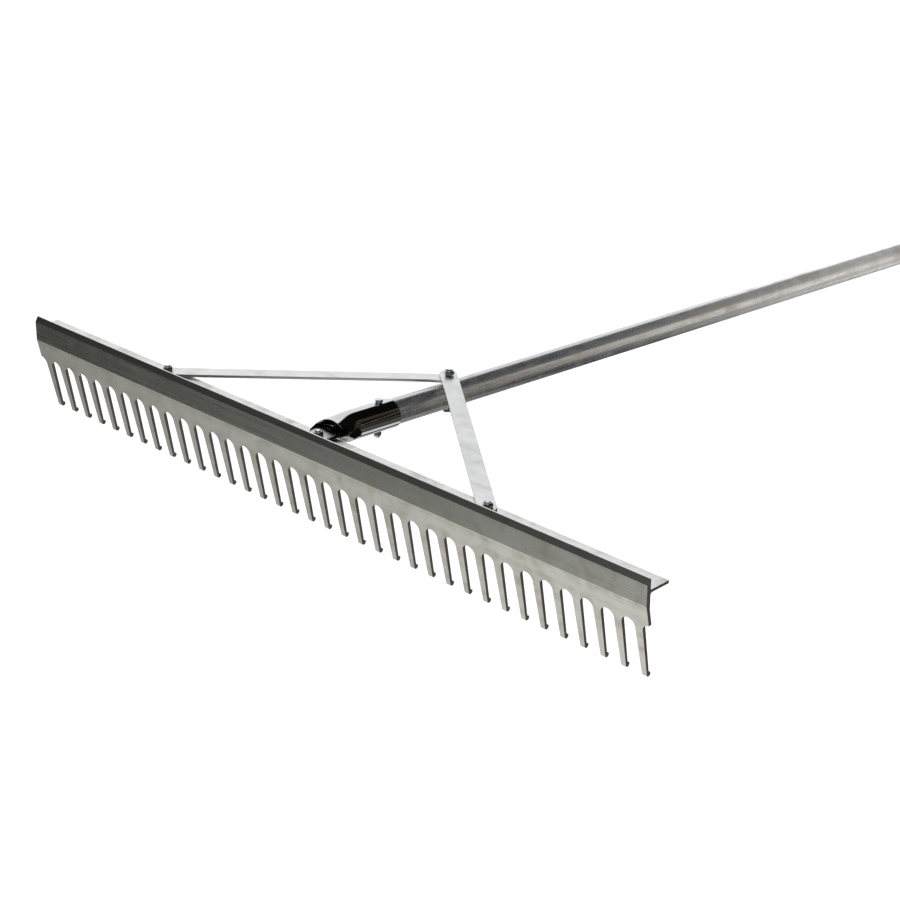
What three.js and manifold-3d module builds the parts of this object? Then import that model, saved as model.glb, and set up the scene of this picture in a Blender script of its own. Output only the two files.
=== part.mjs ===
// A landscape rake: one extruded aluminium head with a row of teeth, a steel ferrule bolted to its flange,
// a tubular handle in the ferrule, and two flat straps that brace the head against the handle.
//
// Units are millimetres. Everything is drawn in the head's own frame, X along the head, Y back towards the
// handle, Z up, with y = 0 on the front of the head's middle band and z = 0 on top of its flange. The last
// lines lay the whole rake on the ground, resting on its tooth tips and on the far end of the handle.

import * as THREE from "three";
import { mergeVertices } from "three/addons/utils/BufferGeometryUtils.js";
import Module from "manifold-3d";

const wasm = await Module();
wasm.setup();

const GAP = 0.3; // between pieces that touch

// The head: an extrusion with a bevelled lip, a middle band, a rear flange and a plate that leans back.
const TOOTH_COUNT = 36;
const TOOTH_PITCH = 25.4;
const HEAD_LENGTH = TOOTH_COUNT * TOOTH_PITCH;
const LIP_HEIGHT = 11.8;
const LIP_THICKNESS = 1.5;
const BEVEL_BOTTOM = 6;
const BAND_THICKNESS = 5.1;
const CREASE_DEPTH = 16;
const FLANGE_REACH = 31;
const FLANGE_THICKNESS = 3.2;
const FLANGE_FILLET = 2.5;
const LIP_FILLET = 1;
const REAR_CREASE_DEPTH = 20;
const LEAN = THREE.MathUtils.degToRad(11.8);
const TOOTH_THICKNESS = 3.2; // just above the foot; the plate is thicker towards the crease
const FOOT_RADIUS = 2.7;
const FOOT_RUN = 84.3; // down the lean from the crease to the middle of the rounded foot
const ARCH_RUN = 30.6; // down the lean from the crease to the middle of the arch between two teeth
const TOOTH_ROOT_WIDTH = 9.2;
const TOOTH_TIP_WIDTH = 5.6;

// The handle falls away behind the head. Its axis meets the plane of the flange at y = AXIS_START.
const AXIS_START = 50;
const FALL = THREE.MathUtils.degToRad(3.98);
const TUBE_RADIUS = 14.3;
const TUBE_WALL = 1.65;
const TUBE_START = 16;
const TUBE_LENGTH = 1829;
const CAP_THICKNESS = 3;
const PLUG_DEPTH = 25;

// The ferrule: round at the back, flattened into an arch over a flat floor, and cut open at the front.
const SOCKET_RADIUS = 16.1;
const SHEET = 1.5;
const SOCKET_REAR = 124;
const SOCKET_MORPH_START = 68;
const MOUTH = 41;
const MOUTH_HALF_WIDTH = 22;
const MOUTH_TOP = 12.6;
const MOUTH_SIDE = 3; // height of the mouth's widest line above the flange
const ARCH_POWER = 1.6; // above 1, the mouth's arch is a shallower curve than an ellipse
const FLOOR_POWER = 0.4; // below 1, its floor is flatter than an ellipse and its corners are tighter
const FLOOR_END = 36; // behind this line the floor drops away towards the round socket
const SHOULDER = 17; // where the tab ends and the cheeks beside the floor begin to rise
const SHOULDER_HALF_WIDTH = 15;
const CHEEK_HEIGHT = 6.5;
const TAB_HALF_WIDTH = 11.5;
const TAB_FRONT = 8;

// The straps, and the bolts that hold everything together.
const STRAP_WIDTH = 19;
const STRAP_THICKNESS = 3.2;
const STRAP_FOOT = 18; // run from the strap's hole over which it lies flat on the flange
const STRAP_HEAD = 20; // run up to its other hole over which it lies level with the tube
const LOWER_OVERRUN = 1; // how far a strap's rounded end is centred past that hole, for the lower strap
const UPPER_OVERRUN = 6;
const WASHER_RADIUS = 7;
const WASHER_THICKNESS = 1.6;
const STRAP_HOLE_X = 241.5;
const STRAP_HOLE_Y = 18.5;
const TAB_HOLE_Y = 19.6;
const SOCKET_BOLT = 55.7; // along the handle's axis
const HANDLE_BOLT = 161.6;

// Fastener sizes: shank radius, width across flats, and heights of the head, the nut, what stands up from
// the nut (a collar or a dome), and how far the shank reaches past the nut's hexagon.
const SIX = { shank: 3, flats: 10, head: 4, nut: 4, crown: 1.2, reach: 2 };
const FIVE = { shank: 2.5, flats: 8, head: 3.5, nut: 3.8, crown: 3.7, reach: 1.2 };
const HOLE_CLEARANCE = 0.3;

const ROUND = 32;
const SHANK_SIDES = 16;

// Colours and finishes.
const finish = {
  head: new THREE.MeshStandardMaterial({ color: 0xb4b5ac, roughness: 0.45, metalness: 1 }),
  strap: new THREE.MeshStandardMaterial({ color: 0xd6d7d2, roughness: 0.4, metalness: 1 }),
  tube: new THREE.MeshStandardMaterial({ color: 0xb9babd, roughness: 0.25, metalness: 1 }),
  ferrule: new THREE.MeshStandardMaterial({ color: 0xc9c9c6, roughness: 0.08, metalness: 1 }),
  fastener: new THREE.MeshStandardMaterial({ color: 0xbfc8c6, roughness: 0.2, metalness: 1 }),
  cap: new THREE.MeshStandardMaterial({ color: 0x1b1b1d, roughness: 0.6, metalness: 0 }),
};

// ---- helpers ----

function solid(geometry) {
  const bare = geometry.clone();
  bare.deleteAttribute("normal");
  bare.deleteAttribute("uv");
  const merged = mergeVertices(bare, 1e-4);
  const vertProperties = new Float32Array(merged.attributes.position.array);
  const triVerts = new Uint32Array(merged.index.array);
  return new wasm.Manifold(new wasm.Mesh({ numProp: 3, vertProperties, triVerts }));
}

function geometryOf(manifold) {
  const { vertProperties, triVerts } = manifold.getMesh();
  const geometry = new THREE.BufferGeometry();
  geometry.setAttribute("position", new THREE.BufferAttribute(vertProperties, 3));
  geometry.setIndex(new THREE.BufferAttribute(triVerts, 1));
  const faceted = geometry.toNonIndexed();
  faceted.computeVertexNormals();
  return faceted;
}

function piece(name, shape, material) {
  const mesh = new THREE.Mesh(shape.isBufferGeometry ? shape : geometryOf(shape), material);
  mesh.name = name;
  return mesh;
}

// A (y, z) section extruded along X, centred on x = 0.
function alongX(section, length, curveSegments = 4) {
  const geometry = new THREE.ExtrudeGeometry(section, { depth: length, bevelEnabled: false, curveSegments });
  geometry.translate(0, 0, -length / 2);
  const y = new THREE.Vector3(0, 1, 0);
  const z = new THREE.Vector3(0, 0, 1);
  const x = new THREE.Vector3(1, 0, 0);
  return geometry.applyMatrix4(new THREE.Matrix4().makeBasis(y, z, x));
}

// A rod along Z from bottom to top.
function rod(radius, bottom, top, sides) {
  const geometry = new THREE.CylinderGeometry(radius, radius, top - bottom, sides);
  geometry.rotateX(Math.PI / 2);
  return geometry.translate(0, 0, (top + bottom) / 2);
}

// What a bolt hole takes away, from reach below z = 0 to reach above it.
function hole(size, reach) {
  return rod(size.shank + HOLE_CLEARANCE, -reach, reach, SHANK_SIDES);
}

// Where the handle's frame lies in the head's: Y runs back along the tube's axis, Z stands up from it.
const handleFrame = new THREE.Matrix4()
  .makeTranslation(0, AXIS_START, 0)
  .multiply(new THREE.Matrix4().makeRotationX(-FALL));

function axisHeight(y) {
  return (AXIS_START - y) * Math.tan(FALL);
}

// ---- head ----

function headSection() {
  const footY = FOOT_RADIUS * Math.cos(LEAN) + FOOT_RUN * Math.sin(LEAN);
  const footZ = FOOT_RADIUS * Math.sin(LEAN) - FOOT_RUN * Math.cos(LEAN) - CREASE_DEPTH;
  const heel = LEAN + Math.acos((TOOTH_THICKNESS - FOOT_RADIUS) / FOOT_RADIUS);

  const section = new THREE.Shape();
  section.moveTo(BAND_THICKNESS - LIP_THICKNESS, LIP_HEIGHT);
  section.lineTo(BAND_THICKNESS, LIP_HEIGHT);
  section.lineTo(BAND_THICKNESS, LIP_FILLET);
  section.quadraticCurveTo(BAND_THICKNESS, 0, BAND_THICKNESS + LIP_FILLET, 0);
  section.lineTo(FLANGE_REACH, 0);
  section.lineTo(FLANGE_REACH, -FLANGE_THICKNESS);
  section.lineTo(BAND_THICKNESS + FLANGE_FILLET, -FLANGE_THICKNESS);
  section.quadraticCurveTo(
    BAND_THICKNESS, -FLANGE_THICKNESS,
    BAND_THICKNESS, -FLANGE_THICKNESS - FLANGE_FILLET,
  );
  section.lineTo(BAND_THICKNESS, -REAR_CREASE_DEPTH);
  section.absarc(footY, footZ, FOOT_RADIUS, heel, LEAN - Math.PI, true);
  section.lineTo(0, -CREASE_DEPTH);
  section.lineTo(0, BEVEL_BOTTOM);
  section.closePath();
  return section;
}

// The gap between two teeth, in the plane of the leaning plate: x along the head, y up the lean.
function toothGap() {
  const archRadius = (TOOTH_PITCH - TOOTH_ROOT_WIDTH) / 2;
  const tipHalf = (TOOTH_PITCH - TOOTH_TIP_WIDTH) / 2;
  const bottom = -FOOT_RUN - 2 * FOOT_RADIUS;
  const outline = new THREE.Shape();
  outline.moveTo(-tipHalf, bottom);
  outline.lineTo(-archRadius, -ARCH_RUN);
  outline.absarc(0, -ARCH_RUN, archRadius, Math.PI, 0, true);
  outline.lineTo(tipHalf, bottom);
  outline.closePath();
  return outline;
}

function rakeHead() {
  const behind = 12;
  const cutter = new THREE.ExtrudeGeometry(toothGap(), { depth: 2 * behind, bevelEnabled: false, curveSegments: 6 });
  const upLean = new THREE.Vector3(0, -Math.sin(LEAN), Math.cos(LEAN));
  const forward = new THREE.Vector3(0, -Math.cos(LEAN), -Math.sin(LEAN));
  cutter.translate(0, 0, -behind * 1.25);
  cutter.applyMatrix4(new THREE.Matrix4().makeBasis(new THREE.Vector3(1, 0, 0), upLean, forward));
  cutter.translate(0, 0, -CREASE_DEPTH);

  let head = solid(alongX(headSection(), HEAD_LENGTH));
  for (let i = 0; i <= TOOTH_COUNT; i++) {
    const x = i * TOOTH_PITCH - HEAD_LENGTH / 2;
    head = head.subtract(solid(cutter.clone().translate(x, 0, 0)));
  }
  for (const x of [-STRAP_HOLE_X, STRAP_HOLE_X]) {
    head = head.subtract(solid(hole(SIX, 2 * FLANGE_THICKNESS).translate(x, STRAP_HOLE_Y, 0)));
  }
  return head.subtract(solid(hole(SIX, 2 * FLANGE_THICKNESS).translate(0, TAB_HOLE_Y, 0)));
}

// ---- ferrule ----

// How far a change that starts at y = from has gone by the time it ends at y = to, nearer the front.
function progress(y, from, to) {
  return THREE.MathUtils.smoothstep(-y, -from, -to);
}

// The ferrule's section at y: its half width, the heights of its top, its widest line and its bottom, and
// the powers that bend its upper and lower halves away from plain ellipses.
function socketSection(y) {
  const { lerp } = THREE.MathUtils;
  const axis = axisHeight(y);
  const flat = progress(y, SOCKET_MORPH_START, MOUTH);
  const drop = progress(y, SOCKET_MORPH_START - 12, FLOOR_END);
  const taper = progress(y, MOUTH, SHOULDER);
  const halfWidth = lerp(SOCKET_RADIUS, MOUTH_HALF_WIDTH, flat);
  return {
    halfWidth: lerp(halfWidth, SHOULDER_HALF_WIDTH, taper),
    top: lerp(axis + SOCKET_RADIUS, MOUTH_TOP, flat),
    side: lerp(axis, MOUTH_SIDE, flat),
    bottom: lerp(axis - SOCKET_RADIUS, GAP, drop),
    archPower: lerp(1, ARCH_POWER, flat),
    floorPower: lerp(1, FLOOR_POWER, drop),
  };
}

// A cylinder along Y whose every ring is bent to the ferrule's section there, inset by a thickness.
function socketSolid(inset, front, rear) {
  const geometry = new THREE.CylinderGeometry(1, 1, rear - front, ROUND, 20);
  const position = geometry.attributes.position;
  const middle = (rear + front) / 2;
  for (let i = 0; i < position.count; i++) {
    const y = middle + position.getY(i);
    const section = socketSection(y);
    const up = position.getZ(i);
    const rise = Math.pow(Math.abs(up), up > 0 ? section.archPower : section.floorPower);
    const z = up > 0
      ? section.side + rise * (section.top - inset - section.side)
      : section.side - rise * (section.side - section.bottom - inset);
    position.setXYZ(i, (section.halfWidth - inset) * position.getX(i), y, z);
  }
  return solid(geometry);
}

// What is cut away in front of the mouth: everything above the tab and the two low cheeks behind it.
function mouthCut() {
  const past = 2 * SOCKET_RADIUS;
  const floor = GAP + SHEET + 0.1;
  const cut = new THREE.Shape();
  cut.moveTo(0, past);
  cut.lineTo(0, floor);
  cut.lineTo(SHOULDER - 2, floor);
  cut.lineTo(MOUTH - 1, CHEEK_HEIGHT);
  cut.lineTo(MOUTH + 0.5, past);
  cut.closePath();
  return solid(alongX(cut, 4 * SOCKET_RADIUS));
}

// The outline of the ferrule from above: a round-ended tab that widens at its shoulders.
function ferruleOutline() {
  const wide = 2 * SOCKET_RADIUS;
  const corner = 2.5;
  const past = SOCKET_REAR + 1;
  const outline = new THREE.Shape();
  outline.moveTo(-wide, past);
  outline.lineTo(-wide, SHOULDER);
  outline.lineTo(-TAB_HALF_WIDTH - corner, SHOULDER);
  outline.quadraticCurveTo(-TAB_HALF_WIDTH, SHOULDER, -TAB_HALF_WIDTH, SHOULDER - corner);
  outline.absarc(0, TAB_FRONT + TAB_HALF_WIDTH, TAB_HALF_WIDTH, Math.PI, 2 * Math.PI, false);
  outline.quadraticCurveTo(TAB_HALF_WIDTH, SHOULDER, TAB_HALF_WIDTH + corner, SHOULDER);
  outline.lineTo(wide, SHOULDER);
  outline.lineTo(wide, past);
  outline.closePath();
  const plan = new THREE.ExtrudeGeometry(outline, { depth: 2 * wide, bevelEnabled: false, curveSegments: 6 });
  return solid(plan.translate(0, 0, -wide));
}

function ferrule() {
  const front = TAB_FRONT - 4;
  const crossHole = hole(FIVE, 2 * SOCKET_RADIUS).translate(0, SOCKET_BOLT, 0).applyMatrix4(handleFrame);
  const tabHole = hole(SIX, SOCKET_RADIUS).translate(0, TAB_HOLE_Y, 0);
  return socketSolid(0, front, SOCKET_REAR)
    .subtract(socketSolid(SHEET, front - 1, SOCKET_REAR + 1))
    .subtract(mouthCut())
    .intersect(ferruleOutline())
    .subtract(solid(crossHole))
    .subtract(solid(tabHole));
}

// ---- handle, drawn in its own frame: Y along the tube ----

function tubeBlank(radius, start, end) {
  const geometry = new THREE.CylinderGeometry(radius, radius, end - start, ROUND);
  return geometry.translate(0, (start + end) / 2, 0);
}

function handleTube() {
  const end = TUBE_START + TUBE_LENGTH;
  let tube = solid(tubeBlank(TUBE_RADIUS, TUBE_START, end));
  tube = tube.subtract(solid(tubeBlank(TUBE_RADIUS - TUBE_WALL, TUBE_START - 1, end + 1)));
  return tube
    .subtract(solid(hole(FIVE, 2 * TUBE_RADIUS).translate(0, SOCKET_BOLT, 0)))
    .subtract(solid(hole(SIX, 2 * TUBE_RADIUS).translate(0, HANDLE_BOLT, 0)));
}

// A plastic end cap: a flat disc over the end of the tube and a plug inside it.
function endCap() {
  const plugRadius = TUBE_RADIUS - TUBE_WALL - GAP;
  const profile = [
    new THREE.Vector2(0, -PLUG_DEPTH),
    new THREE.Vector2(plugRadius, -PLUG_DEPTH),
    new THREE.Vector2(plugRadius, GAP),
    new THREE.Vector2(TUBE_RADIUS, GAP),
    new THREE.Vector2(TUBE_RADIUS, CAP_THICKNESS - 1),
    new THREE.Vector2(TUBE_RADIUS - 1, CAP_THICKNESS),
    new THREE.Vector2(0, CAP_THICKNESS),
  ];
  return new THREE.LatheGeometry(profile, ROUND).translate(0, TUBE_START + TUBE_LENGTH, 0);
}

// ---- straps ----

// side is -1 or 1, lift is how high the strap's underside stands above the tube at the handle bolt, and
// overrun is how far its rounded end is centred past that bolt.
// It is bent in its own frame, X along its run from the foot's hole and Y across it, then laid in place.
function strap(side, lift, overrun) {
  const foot = new THREE.Vector3(side * STRAP_HOLE_X, STRAP_HOLE_Y, 0);
  const top = new THREE.Vector3(0, HANDLE_BOLT, TUBE_RADIUS + lift).applyMatrix4(handleFrame).setZ(0);
  const length = foot.distanceTo(top);
  const angle = Math.atan2(top.y - foot.y, top.x - foot.x);
  const radius = STRAP_WIDTH / 2;
  const steps = 10;
  const bends = [STRAP_FOOT, length - STRAP_HEAD];
  const ends = [-radius - 1, length + overrun + radius + 1];

  const blank = new THREE.BoxGeometry(steps, STRAP_WIDTH + 1, STRAP_THICKNESS, steps, 1, 1);
  const position = blank.attributes.position;
  for (let i = 0; i < position.count; i++) {
    const step = position.getX(i) + steps / 2;
    const climb = THREE.MathUtils.clamp((step - 1) / (steps - 2), 0, 1);
    const atEnd = Math.abs(position.getX(i)) > steps / 2 - 0.5;
    const run = atEnd ? ends[climb] : THREE.MathUtils.lerp(bends[0], bends[1], climb);
    const across = position.getY(i);
    const level = Math.max(run, bends[1]);
    const y = foot.y + level * Math.sin(angle) + across * Math.cos(angle);
    const onHandle = axisHeight(y) + (TUBE_RADIUS + lift) / Math.cos(FALL);
    const under = THREE.MathUtils.lerp(GAP, onHandle, climb);
    position.setXYZ(i, run, across, position.getZ(i) + STRAP_THICKNESS / 2 + under);
  }

  const outline = new THREE.Shape();
  outline.absarc(0, 0, radius, Math.PI / 2, 1.5 * Math.PI, false);
  outline.absarc(length + overrun, 0, radius, -Math.PI / 2, Math.PI / 2, false);
  outline.closePath();
  const plan = new THREE.ExtrudeGeometry(outline, { depth: 60, bevelEnabled: false, curveSegments: 6 });
  const inPlace = new THREE.Matrix4().makeRotationZ(angle).setPosition(foot);
  const shape = solid(blank).intersect(solid(plan.translate(0, 0, -30))).transform(inPlace.elements);

  const footHole = hole(SIX, 30).translate(foot.x, foot.y, 0);
  const topHole = hole(SIX, 40).translate(0, HANDLE_BOLT, 0).applyMatrix4(handleFrame);
  return shape.subtract(solid(footHole)).subtract(solid(topHole));
}

// ---- fasteners, drawn along Z with the underside of the hex head at z = 0 ----

function hexagon(size, bottom, top) {
  return solid(rod(size.flats / Math.sqrt(3), bottom, top, 6));
}

function bolt(size, grip) {
  const end = grip + 2 * GAP + size.nut + size.reach;
  return hexagon(size, -size.head, 0).add(solid(rod(size.shank, -size.head / 2, end, SHANK_SIDES)));
}

// A lock nut: a hexagon with a round collar on top. Its underside is at z = 0.
function lockNut(size) {
  const collar = solid(rod(0.45 * size.flats, size.nut / 2, size.nut + size.crown, SHANK_SIDES));
  const bore = solid(rod(size.shank + GAP, -1, 2 * size.nut, SHANK_SIDES));
  return hexagon(size, 0, size.nut).add(collar).subtract(bore);
}

// A cap nut: a hexagon closed by a dome. Its underside is at z = 0.
function capNut(size) {
  const dome = new THREE.SphereGeometry(0.46 * size.flats, SHANK_SIDES, 8, 0, 2 * Math.PI, 0, Math.PI);
  dome.rotateX(Math.PI / 2).scale(1, 1, size.crown / (0.46 * size.flats)).translate(0, 0, size.nut);
  const bore = solid(rod(size.shank + GAP, -1, size.nut + size.reach + GAP, SHANK_SIDES));
  return hexagon(size, 0, size.nut).add(solid(dome)).subtract(bore);
}

// A bolt and its nut as a group. The head's underside is at z = 0 and the nut sits above the grip.
function boltAndNut(name, size, grip, nutShape = lockNut) {
  const group = new THREE.Group();
  const nut = piece(name + "_nut", nutShape(size), finish.fastener);
  nut.position.z = grip + 2 * GAP;
  group.add(piece(name + "_bolt", bolt(size, grip), finish.fastener), nut);
  return group;
}

// A plain washer on the bolt, between the tube and the lower strap.
function washer() {
  const ring = solid(rod(WASHER_RADIUS, 0, WASHER_THICKNESS, ROUND));
  return ring.subtract(solid(hole(SIX, 2 * WASHER_THICKNESS)));
}

// ---- assembly ----

const rake = new THREE.Group();
const handle = new THREE.Group();
handle.applyMatrix4(handleFrame);
rake.add(handle);

rake.add(piece("rake_head", rakeHead(), finish.head));
rake.add(piece("handle_ferrule", ferrule(), finish.ferrule));
handle.add(piece("handle_tube", handleTube(), finish.tube));
handle.add(piece("handle_end_cap", endCap(), finish.cap));

const strapSeat = WASHER_THICKNESS + 2 * GAP;
const strapStep = STRAP_THICKNESS + GAP;
rake.add(piece("left_strap", strap(-1, strapSeat, LOWER_OVERRUN), finish.strap));
rake.add(piece("right_strap", strap(1, strapSeat + strapStep, UPPER_OVERRUN), finish.strap));
const strapWasher = piece("strap_washer", washer(), finish.fastener);
strapWasher.position.set(0, HANDLE_BOLT, TUBE_RADIUS + GAP);
handle.add(strapWasher);

const flangeGrip = FLANGE_THICKNESS + GAP;
for (const [name, x, y, sheet] of [
  ["left_strap_foot", -STRAP_HOLE_X, STRAP_HOLE_Y, STRAP_THICKNESS],
  ["right_strap_foot", STRAP_HOLE_X, STRAP_HOLE_Y, STRAP_THICKNESS],
  ["ferrule_tab", 0, TAB_HOLE_Y, SHEET],
]) {
  const fastening = boltAndNut(name, SIX, flangeGrip + sheet);
  fastening.position.set(x, y, -flangeGrip);
  rake.add(fastening);
}

// The bolt through the straps has its nut on top; the one through the ferrule has its nut below.
const strapBolt = boltAndNut("strap_handle", SIX, 2 * TUBE_RADIUS + strapSeat + 2 * strapStep);
strapBolt.position.set(0, HANDLE_BOLT, -TUBE_RADIUS - GAP);
handle.add(strapBolt);

const socketBolt = boltAndNut("ferrule_cross", FIVE, 2 * SOCKET_RADIUS, capNut);
socketBolt.rotation.y = Math.PI;
socketBolt.position.set(0, SOCKET_BOLT, SOCKET_RADIUS + GAP);
handle.add(socketBolt);

// Lay the rake down: turn it about X until the tooth tips and the end of the handle are level, then put
// the middle of its footprint at the origin.
const tipY = FOOT_RUN * Math.sin(LEAN) + FOOT_RADIUS;
const tipZ = -CREASE_DEPTH - FOOT_RUN * Math.cos(LEAN) - FOOT_RADIUS;
const handleEnd = new THREE.Vector3(0, TUBE_START + TUBE_LENGTH + CAP_THICKNESS, -TUBE_RADIUS);
handleEnd.applyMatrix4(handleFrame);
rake.rotation.x = Math.atan2(tipZ - handleEnd.z, handleEnd.y - tipY);
rake.updateMatrixWorld(true);
const bounds = new THREE.Box3().setFromObject(rake, true);
rake.position.set(0, -(bounds.min.y + bounds.max.y) / 2, -bounds.min.z);

const part = new THREE.Group();
part.add(rake);

export default part;
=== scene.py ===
"""The looks of a landscape rake: a toothed aluminium head, a plated ferrule, a tubular handle and two straps.

Lengths are millimetres in the head's frame: X along the head, Y back towards the handle, Z up, with y = 0 on
the front of the head's middle band and z = 0 on top of its flange. build() turns them into the row frame.
"""

import math  # noqa: E402

import bmesh  # noqa: E402
import bpy  # noqa: E402
from mathutils import Matrix, Vector  # noqa: E402

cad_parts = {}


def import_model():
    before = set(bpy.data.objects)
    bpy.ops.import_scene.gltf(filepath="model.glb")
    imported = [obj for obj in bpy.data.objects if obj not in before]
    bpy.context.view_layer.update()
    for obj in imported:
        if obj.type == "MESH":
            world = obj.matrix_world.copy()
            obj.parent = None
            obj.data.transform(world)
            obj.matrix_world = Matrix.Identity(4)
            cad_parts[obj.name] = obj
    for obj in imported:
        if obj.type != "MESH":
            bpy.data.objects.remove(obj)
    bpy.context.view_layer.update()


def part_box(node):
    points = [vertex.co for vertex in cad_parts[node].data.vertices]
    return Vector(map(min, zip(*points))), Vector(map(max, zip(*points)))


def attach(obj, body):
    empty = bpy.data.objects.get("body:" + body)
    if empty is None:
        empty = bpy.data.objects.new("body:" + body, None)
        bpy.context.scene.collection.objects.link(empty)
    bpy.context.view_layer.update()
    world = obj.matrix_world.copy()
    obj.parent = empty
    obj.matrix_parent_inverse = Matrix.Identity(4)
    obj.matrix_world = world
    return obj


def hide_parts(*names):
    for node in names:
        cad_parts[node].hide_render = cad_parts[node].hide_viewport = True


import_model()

MM = 0.001
GAP = 0.3  # clear space between two pieces
EDGE = 0.35  # how far a sharp edge is rounded

# Head
TEETH = 36
PITCH = 25.4
HEAD_END = TEETH * PITCH / 2
LIP_HEIGHT = 11.8
LIP_THICKNESS = 1.5
BEVEL_BOTTOM = 6.0
BAND_THICKNESS = 5.1
BAND_MIDDLE = -8.0
CREASE_DEPTH = 16.0
REAR_CREASE_DEPTH = 20.0
FLANGE_REACH = 31.0
FLANGE_MIDDLE = 18.0
FLANGE_THICKNESS = 3.2
FILLET_ABOVE = 1.2
FILLET_BELOW = 2.5
PLATE_TOP_RUN = 4.96
PLATE_TOP_DEPTH = 4.17
PLATE_FRONT_ROW = 11.0
PLATE_BACK_ROW = 13.0
LEAN = math.radians(11.8)
TOOTH_THICKNESS = 3.2
FOOT_RADIUS = 2.7
FOOT_RUN = 84.3
FOOT_STEPS = 20
ARCH_RUN = 30.6
ARCH_RADIUS = (PITCH - 9.2) / 2
TIP_GAP = (PITCH - 5.6) / 2
ARC_STEP = 7.5  # degrees: two faces of one curve meet at less than the angle that shades as a crease
CREASE_ANGLE = 9.5

# Handle
TILT = math.radians(1.26385)
AXIS_START = 50.0
FALL = math.radians(3.98)
TUBE_RADIUS = 14.3
TUBE_WALL = 1.65
TUBE_START = 16.0
TUBE_END = 1845.0
CAP_THICKNESS = 3.0
CAP_ROUND = 1.2
CAP_DISH_RADIUS = 6.0
CAP_DISH_DEPTH = 0.5
PLUG_LENGTH = 25.0
PLUG_TAPER = 1.0
RIB_COUNT = 3
RIB_PITCH = 5.0
RIB_DEPTH = 0.7

# Ferrule
SOCKET_RADIUS = 16.1
SHEET = 1.5
SOCKET_REAR = 124.0
MORPH_START = 68.0
FLOOR_START = 56.0
MOUTH = 41.0
RIM = MOUTH - 1
MOUTH_HALF_WIDTH = 22.0
MOUTH_TOP = 12.6
MOUTH_SIDE = 3.0
ARCH_POWER = 1.6
FLOOR_POWER = 0.4
FLOOR_END = 36.0
SHOULDER = 17.0
SHOULDER_HALF_WIDTH = 15.0
CHEEK_HEIGHT = 6.5
CHEEK_FRONT_HEIGHT = 2.2
CHEEK_RISE = 2.2
CHEEK_RISE_START = 34.0
CHEEK_RISE_RUN = 6.0
LOW_STEPS = 44
HIGH_STEPS = 36
TAB_HALF_WIDTH = 11.5
TAB_CENTRE = 19.5

# Straps and fasteners
STRAP_WIDTH = 19.0
STRAP_THICKNESS = 3.2
STRAP_FOOT = 18.0
STRAP_HEAD = 20.0
STRAP_HOLE_X = 241.5
STRAP_HOLE_Y = 18.5
TAB_HOLE_Y = 19.6
SOCKET_BOLT = 55.7
HANDLE_BOLT = 161.6
WASHER_RADIUS = 7.0
WASHER_THICKNESS = 1.6
WASHER_EDGE = 0.2
LEFT_OVERRUN = 1.0
RIGHT_OVERRUN = 6.0
SIDES = 96  # points round a fastener
FLAT_SHARE = 0.96  # the circle left on a chamfered hexagon, as a share of its flats
CHAMFER = math.radians(30)
THREAD_FIT = 0.12
SIX = dict(shank=3.0, flats=10.0, head=4.0, nut=4.0, crown=1.2, reach=1.95)
FIVE = dict(shank=2.5, flats=8.0, head=3.5, nut=3.8, crown=3.7, reach=1.2)

# Where the picture was taken from, in the head's frame, solved from the head's teeth, creases and ends
CAMERA_PLACE = (1605.1, -1438.6, 986.2)
CAMERA_AZIMUTH = math.radians(44.146)
CAMERA_ELEVATION = math.radians(24.85)
CAMERA_ROLL = math.radians(0.243)
CAMERA_LENS = 92.152
CAMERA_SENSOR = 36
CAMERA_SHIFT = 1 / 450


def lerp(a, b, t):
    return a + (b - a) * t


def smooth(t):
    t = min(max(t, 0.0), 1.0)
    return t * t * (3 - 2 * t)


def progress(y, start, end):
    """How far a change that starts at one y has gone at another, towards the front."""
    return smooth((start - y) / (start - end))


# ---- frames ----


def plate_point(run, depth):
    """(y, z) of a point of the leaning plate: run down the lean from the crease, depth behind its front."""
    return (
        run * math.sin(LEAN) + depth * math.cos(LEAN),
        -CREASE_DEPTH - run * math.cos(LEAN) + depth * math.sin(LEAN),
    )


def row_from_head():
    """The head's frame in the row's: tilted so that tooth tips and handle end rest, then set on the CAD head."""
    turn = Matrix.Rotation(TILT, 4, "X")
    low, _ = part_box("rake_head")
    foot = turn @ Vector((0, *plate_point(FOOT_RUN, FOOT_RADIUS)))
    nose = turn @ Vector((0, 0, BEVEL_BOTTOM))
    shift = Vector((0, low.y / MM - nose.y, low.z / MM - (foot.z - FOOT_RADIUS)))
    return Matrix.Scale(MM, 4) @ Matrix.Translation(shift) @ turn


ROW = row_from_head()
HANDLE = Matrix.Translation((0, AXIS_START, 0)) @ Matrix.Rotation(-FALL, 4, "X")


def axis_height(y):
    return (AXIS_START - y) * math.tan(FALL)


# ---- mesh helpers ----


class Shell:
    """Vertices and faces gathered for one piece."""

    def __init__(self):
        self.points = []
        self.faces = []

    def add(self, point):
        self.points.append(Vector(point))
        return len(self.points) - 1

    def ring(self, points):
        return [self.add(p) for p in points]

    def bridge(self, a, b, closed=True):
        """Quads between two rings of equal length."""
        count = len(a)
        for i in range(count if closed else count - 1):
            j = (i + 1) % count
            self.faces.append((a[i], a[j], b[j], b[i]))

    def loft(self, rings, closed=True):
        for a, b in zip(rings, rings[1:]):
            self.bridge(a, b, closed)

    def cap(self, ring, centre):
        """A fan from a ring to one point."""
        middle = self.add(centre)
        for i, a in enumerate(ring):
            self.faces.append((a, ring[(i + 1) % len(ring)], middle))


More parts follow.
